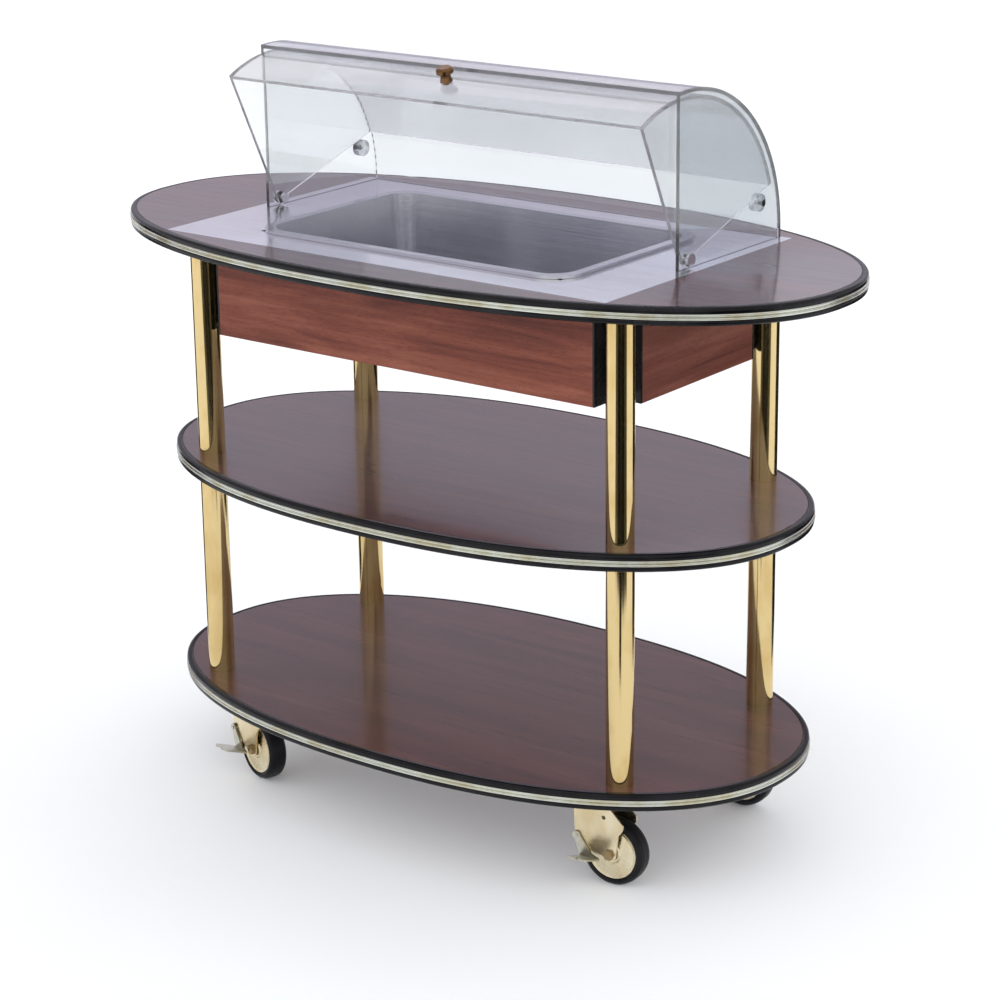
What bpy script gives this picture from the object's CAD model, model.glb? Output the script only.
"""Looks of the oval serving cart: camera, light, materials and finer board edges on the frame."""
import math

import bmesh
import bpy
from mathutils import Matrix, Vector


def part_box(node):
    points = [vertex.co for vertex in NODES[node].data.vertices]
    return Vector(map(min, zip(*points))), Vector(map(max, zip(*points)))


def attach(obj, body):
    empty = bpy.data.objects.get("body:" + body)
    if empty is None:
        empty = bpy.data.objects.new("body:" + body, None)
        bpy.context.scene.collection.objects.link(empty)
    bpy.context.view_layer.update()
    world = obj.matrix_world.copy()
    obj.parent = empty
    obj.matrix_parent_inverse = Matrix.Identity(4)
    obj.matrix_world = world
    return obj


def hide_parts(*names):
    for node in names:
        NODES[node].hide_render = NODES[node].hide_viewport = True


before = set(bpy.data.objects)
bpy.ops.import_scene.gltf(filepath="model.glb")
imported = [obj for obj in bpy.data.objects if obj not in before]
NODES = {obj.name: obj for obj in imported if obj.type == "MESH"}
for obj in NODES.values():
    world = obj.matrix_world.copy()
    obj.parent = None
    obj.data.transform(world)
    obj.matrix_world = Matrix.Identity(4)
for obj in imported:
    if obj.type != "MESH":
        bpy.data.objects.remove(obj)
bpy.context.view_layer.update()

# Camera, in the photograph's frame of 1000 by 1000 pixels
CAMERA_AT = (2.315, -2.981, 1.666)
CAMERA_YAW = -37.47
CAMERA_PITCH = 18.06
CAMERA_ROLL = -0.73
FOCAL_PX = 2811.4
FRAME_PX = 1000
SENSOR_MM = 36
CLIP_END = 100

# Sockets of a Mix node for colours, whose names repeat
MIX_FIRST = 6
MIX_SECOND = 7
MIX_RESULT = 2

# Noise keeps between about these values
NOISE_LOW = 0.3
NOISE_HIGH = 0.7


def make_camera():
    """Camera whose yaw turns from +Y towards +X, and whose pitch looks down."""
    yaw, pitch, roll = (math.radians(a) for a in (CAMERA_YAW, CAMERA_PITCH, CAMERA_ROLL))
    level = math.cos(pitch)
    forward = Vector((math.sin(yaw) * level, math.cos(yaw) * level, -math.sin(pitch)))
    right = Vector((math.cos(yaw), -math.sin(yaw), 0))
    up = right.cross(forward)
    right, up = (math.cos(roll) * right + math.sin(roll) * up,
                 math.cos(roll) * up - math.sin(roll) * right)
    data = bpy.data.cameras.new("camera")
    data.sensor_width = SENSOR_MM
    data.lens = SENSOR_MM * FOCAL_PX / FRAME_PX
    data.clip_end = CLIP_END
    camera = bpy.data.objects.new("camera", data)
    bpy.context.collection.objects.link(camera)
    turn = Matrix((right, up, -forward)).transposed().to_4x4()
    camera.matrix_world = Matrix.Translation(CAMERA_AT) @ turn
    bpy.context.scene.camera = camera


def add_node(tree, kind, inputs=None, **settings):
    """Adds a node to a tree, sets its properties and then the values of its input sockets."""
    node = tree.nodes.new(kind)
    for key, value in settings.items():
        setattr(node, key, value)
    for key, value in (inputs or {}).items():
        node.inputs[key].default_value = value
    return node


def set_stops(ramp, stops):
    """Sets a colour ramp's stops, each given as a position and a colour."""
    elements = ramp.color_ramp.elements
    for element, (at, color) in zip(elements, (stops[0], stops[-1])):
        element.position = at
        element.color = (*color, 1)
    for at, color in stops[1:-1]:
        elements.new(at).color = (*color, 1)


class Shader:
    """A material's node tree, with one Principled BSDF, and short calls that add nodes to it."""

    def __init__(self, name):
        self.material = bpy.data.materials.new(name)
        self.material.use_nodes = True
        self.tree = self.material.node_tree
        self.bsdf = self.tree.nodes["Principled BSDF"]
        self.object_coords = self.add("ShaderNodeTexCoord").outputs["Object"]

    def add(self, kind, inputs=None, **settings):
        return add_node(self.tree, kind, inputs, **settings)

    def link(self, source, target):
        self.tree.links.new(source, target)

    def feed(self, source, socket_name):
        """Links a node's output to one of the shader's own sockets."""
        self.link(source, self.bsdf.inputs[socket_name])

    def set(self, **values):
        """Sets the shader's own sockets; base_color stands for Base Color, and so on."""
        for key, value in values.items():
            socket = self.bsdf.inputs[key.replace("_", " ").title().replace("Ior", "IOR")]
            socket.default_value = (*value, 1) if isinstance(value, tuple) else value

    def noise(self, size, detail=4.0, roughness=0.55, distortion=0.0):
        """Noise whose features measure size, in metres along X, Y and Z."""
        mapping = self.add("ShaderNodeMapping", {"Scale": [1 / s for s in size]})
        self.link(self.object_coords, mapping.inputs["Vector"])
        node = self.add("ShaderNodeTexNoise", {
            "Scale": 1.0, "Detail": detail, "Roughness": roughness, "Distortion": distortion})
        self.link(mapping.outputs["Vector"], node.inputs["Vector"])
        return node.outputs["Fac"]

    def ramp(self, factor, stops):
        node = self.add("ShaderNodeValToRGB")
        set_stops(node, stops)
        self.link(factor, node.inputs["Fac"])
        return node.outputs["Color"]

    def spread(self, factor, low, high):
        """Maps noise onto low to high."""
        node = self.add("ShaderNodeMapRange", {
            "From Min": NOISE_LOW, "From Max": NOISE_HIGH, "To Min": low, "To Max": high})
        self.link(factor, node.inputs["Value"])
        return node.outputs["Result"]

    def mix(self, share, first, second, blend="MIX"):
        node = self.add("ShaderNodeMix", data_type="RGBA", blend_type=blend)
        node.inputs["Factor"].default_value = share
        self.link(first, node.inputs[MIX_FIRST])
        self.link(second, node.inputs[MIX_SECOND])
        return node.outputs[MIX_RESULT]

    def bump(self, height, depth, strength):
        """Bump whose height of 0 to 1 stands for depth, in metres."""
        node = self.add("ShaderNodeBump", {"Distance": depth, "Strength": strength})
        self.link(height, node.inputs["Height"])
        self.feed(node.outputs["Normal"], "Normal")


def wood(name, along, tones, roughness, coat, gloss):
    """Mahogany whose grain runs along axis number along, in three tones from dark to light."""
    shader = Shader(name)

    def grain(length, width):
        return [length if axis == along else width for axis in range(3)]

    streak_share = 0.38
    pore_share = 0.6
    figure = shader.noise(grain(0.45, 0.05), detail=4, distortion=1.2)
    streaks = shader.noise(grain(0.20, 0.009), detail=5, roughness=0.62, distortion=0.5)
    pores = shader.noise(grain(0.010, 0.0007), detail=2)
    tone = shader.mix(streak_share, figure, streaks)
    color = shader.ramp(tone, list(zip((0.33, 0.50, 0.66), tones)))
    pore_tone = shader.ramp(pores, [(0.36, (0.55, 0.55, 0.55)), (0.46, (1, 1, 1))])
    shader.feed(shader.mix(pore_share, color, pore_tone, "MULTIPLY"), "Base Color")
    shader.feed(shader.spread(streaks, roughness - 0.04, roughness + 0.06), "Roughness")
    shader.bump(pores, depth=0.00006, strength=0.5)
    shader.set(coat_weight=coat, coat_roughness=0.09, coat_ior=1.45, ior=1.45,
               specular_ior_level=gloss)
    return shader.material


def brass(name, color, roughness, streak=(0.02, 0.02, 0.4)):
    """Polished brass, or the trims' paler metal, with tarnish; streak is a line's size on X, Y, Z."""
    shader = Shader(name)
    cloud = shader.noise((0.05, 0.05, 0.09), detail=3)
    lines = shader.noise(streak, detail=6, roughness=0.7)
    tarnish = tuple(c * f for c, f in zip(color, (0.86, 0.80, 0.68)))
    shader.feed(shader.ramp(cloud, [(0.38, tarnish), (0.56, color)]), "Base Color")
    shader.feed(shader.spread(lines, roughness * 0.7, roughness * 1.5), "Roughness")
    shader.bump(lines, depth=0.00002, strength=0.25)
    shader.set(metallic=1.0)
    return shader.material


def steel(name, color, roughness, streak, metallic=1.0):
    """Polished steel with brush lines; streak is a line's length along X, Y and Z."""
    shader = Shader(name)
    lines = shader.noise(streak, detail=6, roughness=0.7)
    smudge = shader.noise((0.12, 0.12, 0.12), detail=3)
    darker = tuple(c * 0.82 for c in color)
    shader.feed(shader.ramp(lines, [(0.35, darker), (0.62, color)]), "Base Color")
    shader.feed(shader.spread(smudge, roughness * 0.8, roughness * 1.3), "Roughness")
    shader.bump(lines, depth=0.00002, strength=0.3)
    shader.set(metallic=metallic)
    return shader.material


def plastic(name, color, roughness, grain, gloss=0.25):
    """Moulded plastic or rubber with a fine grain, sized in metres."""
    shader = Shader(name)
    grains = shader.noise((grain, grain, grain), detail=3)
    cloud = shader.noise((0.06, 0.06, 0.06), detail=3)
    lighter = tuple(min(1, c * 1.5 + 0.006) for c in color)
    shader.feed(shader.ramp(cloud, [(0.35, color), (0.68, lighter)]), "Base Color")
    shader.feed(shader.spread(cloud, roughness - 0.06, roughness + 0.08), "Roughness")
    shader.bump(grains, depth=0.00003, strength=0.3)
    shader.set(specular_ior_level=gloss)
    return shader.material


def acrylic(name, color, alpha):
    """Clear sheet; an alpha below 1 keeps its edges from turning black."""
    shader = Shader(name)
    haze = shader.noise((0.15, 0.15, 0.15), detail=4)
    shader.feed(shader.spread(haze, 0.02, 0.05), "Roughness")
    shader.set(base_color=color, transmission_weight=1.0, ior=1.49, alpha=alpha)
    return shader.material


def dress(names, material):
    for name in names:
        mesh = NODES[name].data
        mesh.materials.clear()
        mesh.materials.append(material)


def oval_point(a, b, t, off):
    """Point at angle t of the boards' oval of half axes a and b, moved out by off."""
    power = 2.23

    def signed(value, p):
        return math.copysign(abs(value) ** p, value)

    x = a * signed(math.cos(t), 2 / power)
    y = b * signed(math.sin(t), 2 / power)
    nx = signed(x / a, power - 1) / a
    ny = signed(y / b, power - 1) / b
    n = math.hypot(nx, ny)
    return x + off * nx / n, y + off * ny / n


def edge_strip(node, board, profile, material):
    """Sweeps a profile of outward and upward steps smoothly round a board, in place of a node."""
    low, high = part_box(board)
    a, b = high[0], high[1]
    steps = 360
    mesh = bmesh.new()
    rings = []
    for i in range(steps):
        t = 2 * math.pi * i / steps
        rings.append([mesh.verts.new((*oval_point(a, b, t, out), low[2] + up))
                      for out, up in profile])
    for ring, after in zip(rings, rings[1:] + rings[:1]):
        for j in range(len(profile)):
            k = (j + 1) % len(profile)
            mesh.faces.new((ring[j], after[j], after[k], ring[k]))
    bmesh.ops.recalc_face_normals(mesh, faces=mesh.faces)
    data = bpy.data.meshes.new(node + "_fine")
    mesh.to_mesh(data)
    mesh.free()
    data.shade_smooth()
    piece = bpy.data.objects.new(node + "_fine", data)
    bpy.context.collection.objects.link(piece)
    data.materials.append(material)
    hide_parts(node)
    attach(piece, "cart")


def arc(cx, cy, r, start, end, steps=5):
    """Points of an arc, angles in degrees."""
    turns = (math.radians(start + (end - start) * i / steps) for i in range(steps + 1))
    return [(cx + r * math.cos(t), cy + r * math.sin(t)) for t in turns]


def make_edges():
    """Bumper with rounded lips and a groove, and in the groove a strip with two polished ribs."""
    thick = 0.024
    wide = 0.009
    groove_low = 0.007
    groove_high = 0.016
    groove_floor = 0.007
    top_lip = 0.0042
    low_lip = 0.0036
    corner = 0.0006
    bumper = (
        [(0, 0), (0, thick)]
        + arc(wide - top_lip, thick - top_lip, top_lip, 90, 0)
        + arc(wide - corner, groove_high + corner, corner, 0, -90, 2)
        + [(groove_floor, groove_high), (groove_floor, groove_low)]
        + arc(wide - corner, groove_low - corner, corner, 90, 0, 2)
        + arc(wide - low_lip, low_lip, low_lip, 0, -90)
    )
    rib = 0.0019
    rib_turn = 75
    rib_at = wide - 0.0009
    play = 0.0002
    foot_at = groove_floor + 0.001
    valley_at = wide - 0.0014
    valley_half = 0.0004
    middle = (groove_low + groove_high) / 2
    trim = (
        [(groove_floor, groove_low), (foot_at, groove_low + play)]
        + arc(rib_at, groove_low + play + rib, rib, -rib_turn, rib_turn, 4)
        + [(valley_at, middle - valley_half), (valley_at, middle + valley_half)]
        + arc(rib_at, groove_high - play - rib, rib, -rib_turn, rib_turn, 4)
        + [(foot_at, groove_high - play), (groove_floor, groove_high)]
    )
    for place in ("top", "middle", "bottom"):
        edge_strip(place + "_bumper", place + "_shelf", bumper, VINYL)
        edge_strip(place + "_trim", place + "_shelf", trim, TRIM)


def soften(name, width):
    """Rounds a CAD node's sharp edges by width, in metres, without touching its mesh."""
    node = NODES[name]
    flat = node.modifiers.new("flat faces", "DECIMATE")
    flat.decimate_type = "DISSOLVE"
    flat.angle_limit = math.radians(0.5)
    bevel = node.modifiers.new("edges", "BEVEL")
    bevel.width = width
    bevel.segments = 2
    bevel.limit_method = "ANGLE"
    bevel.angle_limit = math.radians(35)
    bevel.harden_normals = False


def surface(name, points, faces):
    mesh = bpy.data.meshes.new(name)
    mesh.from_pydata(points, [], faces)
    item = bpy.data.objects.new(name, mesh)
    bpy.context.collection.objects.link(item)
    return item


# Brightness of the studio's white light, which is strongest near the floor
LIGHT_AT_HORIZON = 3.1
LIGHT_AT_ZENITH = 0.4

# What reflections see of the studio: tones from low to high behind the cart, and one in front of it
REFLECTED_FROM_Z = -0.2
REFLECTED_TO_Z = 0.9
REFLECTED_BEHIND = (
    (0.0, (0.50, 0.47, 0.55)),
    (0.42, (0.55, 0.51, 0.61)),
    (0.50, (0.42, 0.37, 0.43)),
    (0.56, (0.25, 0.18, 0.18)),
    (0.66, (0.60, 0.62, 0.66)),
    (1.0, (1.0, 1.0, 1.0)),
)
REFLECTED_IN_FRONT = (0.78, 0.77, 0.78, 1)
TOWARDS_FRONT = (0.62, -0.78, 0)
FRONT_STARTS = 0.1
FRONT_IS_FULL = 0.7


def make_world():
    """White studio, whose reflections have other tones than its light."""
    world = bpy.data.worlds.new("studio")
    bpy.context.scene.world = world
    world.use_nodes = True
    tree = world.node_tree
    link = tree.links.new
    direction = tree.nodes.new("ShaderNodeTexCoord").outputs["Generated"]
    split = tree.nodes.new("ShaderNodeSeparateXYZ")
    link(direction, split.inputs[0])

    height = add_node(tree, "ShaderNodeMapRange", {
        "From Min": REFLECTED_FROM_Z, "From Max": REFLECTED_TO_Z})
    link(split.outputs["Z"], height.inputs["Value"])
    behind = tree.nodes.new("ShaderNodeValToRGB")
    set_stops(behind, REFLECTED_BEHIND)
    link(height.outputs["Result"], behind.inputs["Fac"])

    along = add_node(tree, "ShaderNodeVectorMath", {1: TOWARDS_FRONT}, operation="DOT_PRODUCT")
    link(direction, along.inputs[0])
    front = add_node(tree, "ShaderNodeMapRange", {
        "From Min": FRONT_STARTS, "From Max": FRONT_IS_FULL}, interpolation_type="SMOOTHSTEP")
    link(along.outputs["Value"], front.inputs["Value"])
    reflected = add_node(tree, "ShaderNodeMix", data_type="RGBA")
    reflected.inputs[MIX_SECOND].default_value = REFLECTED_IN_FRONT
    link(front.outputs["Result"], reflected.inputs["Factor"])
    link(behind.outputs["Color"], reflected.inputs[MIX_FIRST])

    light = add_node(tree, "ShaderNodeMapRange", {
        "To Min": LIGHT_AT_HORIZON, "To Max": LIGHT_AT_ZENITH})
    link(split.outputs["Z"], light.inputs["Value"])

    # A ray counts as a reflection also when it goes through the clear cover after it
    rays = tree.nodes.new("ShaderNodeLightPath")
    through = add_node(tree, "ShaderNodeMath", operation="MULTIPLY")
    link(rays.outputs["Is Transmission Ray"], through.inputs[0])
    link(rays.outputs["Glossy Depth"], through.inputs[1])
    mirrored = add_node(tree, "ShaderNodeMath", operation="MAXIMUM")
    link(rays.outputs["Is Glossy Ray"], mirrored.inputs[0])
    link(through.outputs[0], mirrored.inputs[1])

    mix = add_node(tree, "ShaderNodeMix", data_type="RGBA")
    link(mirrored.outputs[0], mix.inputs["Factor"])
    link(light.outputs["Result"], mix.inputs[MIX_FIRST])
    link(reflected.outputs[MIX_RESULT], mix.inputs[MIX_SECOND])
    background = tree.nodes["Background"]
    background.inputs["Strength"].default_value = 1.0
    link(mix.outputs[MIX_RESULT], background.inputs["Color"])


FLOOR_HALF = 30

# Dark floor beyond the paper's edge, which only reflections see. Each card has its heading from
# the cart and half its width in degrees, its nearest distance in metres, and its tone.
DARK_FLOOR = (
    (-46, 38, 1.55, 0.05),
    (-46, 22, 1.50, 0.002),
    (-46, 6, 1.15, 0.01),
    (66, 26, 0.9, 0.01),
    (178, 12, 0.9, 0.01),
)
CARD_END = 6
CARD_LIFT = 0.001
CARD_STEPS = 16


def make_floor():
    half = FLOOR_HALF
    corners = [(-half, -half, 0), (half, -half, 0), (half, half, 0), (-half, half, 0)]
    floor = surface("floor", corners, [(0, 1, 2, 3)])
    shader = Shader("floor paper")
    grain = shader.noise((0.6, 0.6, 0.6), detail=2)
    tones = [(NOISE_LOW, (0.88, 0.90, 0.93)), (NOISE_HIGH, (0.90, 0.915, 0.94))]
    shader.feed(shader.ramp(grain, tones), "Base Color")
    shader.set(roughness=0.9, specular_ior_level=0.2)
    floor.data.materials.append(shader.material)
    for number, (heading, spread, near, tone) in enumerate(DARK_FLOOR, 1):
        points, faces = [], []
        for k in range(CARD_STEPS + 1):
            a = math.radians(heading + spread * (2 * k / CARD_STEPS - 1))
            points += [(r * math.cos(a), r * math.sin(a), CARD_LIFT * number)
                       for r in (near, CARD_END)]
            if k:
                faces.append((2 * k - 2, 2 * k - 1, 2 * k + 1, 2 * k))
        card = surface(f"dark_card_{number}", points, faces)
        card.data.materials.append(
            plastic(f"dark card {number}", (tone, tone, 0.8 * tone), 0.8, 0.01, gloss=0.0))
        card.visible_camera = card.visible_diffuse = False
        card.visible_transmission = card.visible_shadow = False


# Lit upper part of the backdrop: heading in degrees, distance, half width and heights in metres
BACKDROP_HEADING = 127.5
BACKDROP_DISTANCE = 2.1
BACKDROP_HALF = 2.6
BACKDROP_LOW = 1.34
BACKDROP_TOP = 3
GLOW_FROM_Z = 1.35
GLOW_TO_Z = 1.80
GLOW_STRENGTH = 1.27


def make_backdrop():
    """Lit upper part of the backdrop, seen in reflections and through the clear cover."""
    a = math.radians(BACKDROP_HEADING)
    away = Vector((math.cos(a), math.sin(a), 0))
    side = Vector((-away.y, away.x, 0))
    corners = ((-BACKDROP_HALF, BACKDROP_LOW), (BACKDROP_HALF, BACKDROP_LOW),
               (BACKDROP_HALF, BACKDROP_TOP), (-BACKDROP_HALF, BACKDROP_TOP))
    points = [away * BACKDROP_DISTANCE + side * x + Vector((0, 0, z)) for x, z in corners]
    card = surface("lit_backdrop", points, [(0, 1, 2, 3)])
    shader = Shader("lit backdrop")
    height = shader.add("ShaderNodeSeparateXYZ")
    shader.link(shader.object_coords, height.inputs[0])
    rise = shader.add("ShaderNodeMapRange", {"From Min": GLOW_FROM_Z, "From Max": GLOW_TO_Z})
    shader.link(height.outputs["Z"], rise.inputs["Value"])
    glow = shader.ramp(rise.outputs["Result"], [
        (0.0, (0.68, 0.72, 0.84)), (0.5, (0.71, 0.64, 0.74)), (1.0, (0.88, 0.83, 0.90))])
    shader.feed(glow, "Emission Color")
    shader.set(base_color=(0, 0, 0), specular_ior_level=0, emission_strength=GLOW_STRENGTH)
    card.data.materials.append(shader.material)
    card.visible_camera = card.visible_diffuse = card.visible_shadow = False


bpy.context.scene.view_settings.view_transform = "Standard"
make_camera()
make_world()
make_floor()
make_backdrop()

BOARD_TONES = ((0.030, 0.008, 0.008), (0.060, 0.016, 0.015), (0.100, 0.030, 0.025))
PANEL_TONES = ((0.072, 0.018, 0.013), (0.150, 0.041, 0.026), (0.23, 0.078, 0.050))
END_TONES = ((0.052, 0.013, 0.009), (0.110, 0.030, 0.019), (0.17, 0.057, 0.036))
LAMINATE = wood("laminate", 0, BOARD_TONES, roughness=0.30, coat=0.8, gloss=0.5)
PANEL_X = wood("mahogany along the cart", 0, PANEL_TONES, roughness=0.40, coat=0.0, gloss=0.2)
PANEL_Y = wood("mahogany across the cart", 1, END_TONES, roughness=0.40, coat=0.0, gloss=0.2)
VINYL = plastic("edge vinyl", (0.002, 0.002, 0.003), 0.22, 0.0012, gloss=0.2)
CORNER = plastic("corner black", (0.004, 0.004, 0.004), 0.25, 0.0015)
LEVER = plastic("lever plastic", (0.02, 0.02, 0.022), 0.35, 0.001)
RUBBER = plastic("tyre rubber", (0.003, 0.003, 0.004), 0.38, 0.0009, gloss=0.15)
TRIM = brass("edge trim", (0.68, 0.70, 0.62), 0.16, streak=(0.2, 0.2, 0.002))
LEG = brass("leg brass", (0.72, 0.55, 0.27), 0.10)
FITTING = brass("caster brass", (0.84, 0.74, 0.52), 0.20, streak=(0.05, 0.05, 0.01))
DISC = brass("wheel brass", (0.82, 0.74, 0.54), 0.24, streak=(0.01, 0.01, 0.01))
BOLT = brass("bolt brass", (0.34, 0.26, 0.14), 0.28, streak=(0.004, 0.004, 0.004))
PEDAL = steel("pedal steel", (0.62, 0.60, 0.50), 0.30, (0.006, 0.006, 0.006))
VALVE = brass("valve brass", (0.72, 0.53, 0.26), 0.28, streak=(0.02, 0.02, 0.02))
KNOB = brass("knob brass", (0.20, 0.11, 0.055), 0.14, streak=(0.01, 0.01, 0.01))
PLATE = steel("plate steel", (0.90, 0.90, 0.95), 0.14, (0.5, 0.0016, 0.0016), metallic=0.88)
PAN = steel("pan steel", (0.70, 0.71, 0.75), 0.20, (0.4, 0.0018, 0.0018))
BRIGHT = steel("bright steel", (0.80, 0.80, 0.83), 0.12, (0.004, 0.004, 0.004))
ZINC = steel("zinc steel", (0.58, 0.58, 0.57), 0.32, (0.006, 0.006, 0.006))
CLEAR = acrylic("clear acrylic", (0.83, 0.855, 0.87), 0.94)
CLEAR_PEG = acrylic("clear acrylic of the pegs", (0.80, 0.82, 0.83), 0.7)
CLEAR_LID = acrylic("clear acrylic of the lid", (0.96, 0.97, 0.975), 0.84)

PANELS_X = ["apron_front", "apron_back"]
PANELS_Y = ["apron_left", "apron_right"]
dress([n for n in NODES if n.endswith("_shelf")], LAMINATE)
dress(PANELS_X, PANEL_X)
dress(PANELS_Y, PANEL_Y)
dress([n for n in NODES if n.endswith("_bumper")], VINYL)
dress([n for n in NODES if n.endswith("_trim")], TRIM)
dress([n for n in NODES if "_leg_" in n], LEG)
dress(["corner_angles"], CORNER)
dress(["well_plate"], PLATE)
dress(["ice_pan", "drain_fitting"], PAN)
dress(["drain_valve"], VALVE)
dress(["valve_lever"], LEVER)
dress(["pivot_pins", "peg_screws"], BRIGHT)
dress(["tie_rods", "rod_nuts", "caster_screws"], ZINC)
dress([n for n in NODES if n.startswith("dome_")], CLEAR)
dress(["stop_pegs"], CLEAR_PEG)
dress(["lid_sheet", "lid_end_left", "lid_end_right"], CLEAR_LID)
dress(["lid_knob"], KNOB)
dress(["caster_plates"] + [n for n in NODES if n.startswith("fork_")], FITTING)
dress([n for n in NODES if n.startswith("wheel_")], DISC)
dress([n for n in NODES if n.startswith("tyre_")], RUBBER)
dress([n for n in NODES if n.startswith("axle_")], BOLT)
dress([n for n in NODES if n.startswith("brake_pedal_")], PEDAL)
make_edges()
for panel in PANELS_X + PANELS_Y:
    soften(panel, 0.001)
